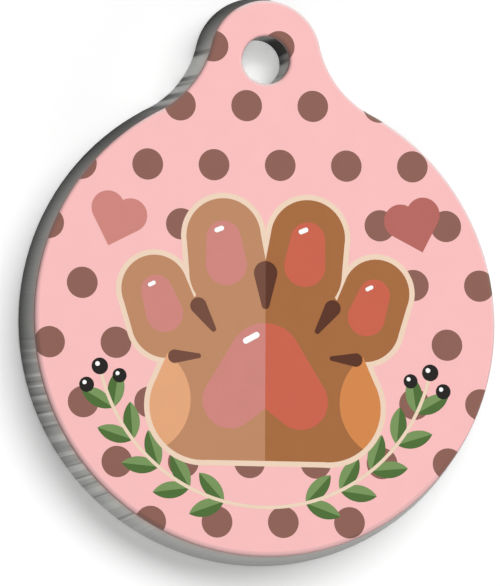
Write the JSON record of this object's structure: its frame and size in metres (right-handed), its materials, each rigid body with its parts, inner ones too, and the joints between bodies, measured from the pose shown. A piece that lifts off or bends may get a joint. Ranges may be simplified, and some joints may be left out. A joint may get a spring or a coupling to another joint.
{
  "type": "pet id tag",
  "caption": "Round steel pet tag with a drilled hanging tab, coated white and printed in flat colours: pink with brown dots and a paw in a leafy sprig.",
  "frame": {"origin": "centre of the round body on the flat back face", "axes": "+Z out of the printed front, +Y from the round body to the hanging tab, +X to the right seen from the front"},
  "size_m": [0.0302, 0.0356, 0.0031],
  "materials": {
    "steel": "cut edge with streaks through the thickness, brushed back",
    "base_coat": "smooth white coat, satin gloss",
    "pink": "smooth printed colour, satin gloss",
    "dot_brown": "smooth printed colour, satin gloss",
    "stem_cream": "smooth printed colour, satin gloss",
    "leaf_light": "smooth printed colour, satin gloss",
    "leaf_dark": "smooth printed colour, satin gloss",
    "berry_black": "smooth printed colour, satin gloss",
    "heart_light": "smooth printed colour, satin gloss",
    "heart_dark": "smooth printed colour, satin gloss",
    "paw_rim": "smooth printed colour, satin gloss",
    "paw_light": "smooth printed colour, satin gloss",
    "paw_dark": "smooth printed colour, satin gloss",
    "patch_light": "smooth printed colour, satin gloss",
    "patch_dark": "smooth printed colour, satin gloss",
    "stripe_light": "smooth printed colour, satin gloss",
    "stripe_dark": "smooth printed colour, satin gloss",
    "pad_light": "smooth printed colour, satin gloss",
    "pad_dark": "smooth printed colour, satin gloss",
    "shine_white": "smooth printed colour, satin gloss"
  },
  "bodies": {
    "root": {"steel_blank": "steel", "base_coat": "base_coat", "pink_ground": "pink", "polka_dots": "dot_brown", "sprig_stems": "stem_cream", "leaf_light": "leaf_light", "leaf_dark": "leaf_dark", "sprig_berries": "berry_black", "heart_light": "heart_light", "heart_dark": "heart_dark", "paw_rim": "paw_rim", "paw_light": "paw_light", "paw_dark": "paw_dark", "patch_light": "patch_light", "patch_dark": "patch_dark", "stripe_light": "stripe_light", "stripe_dark": "stripe_dark", "pad_light": "pad_light", "pad_dark": "pad_dark", "white_shines": "shine_white"}
  },
  "joints": []
}
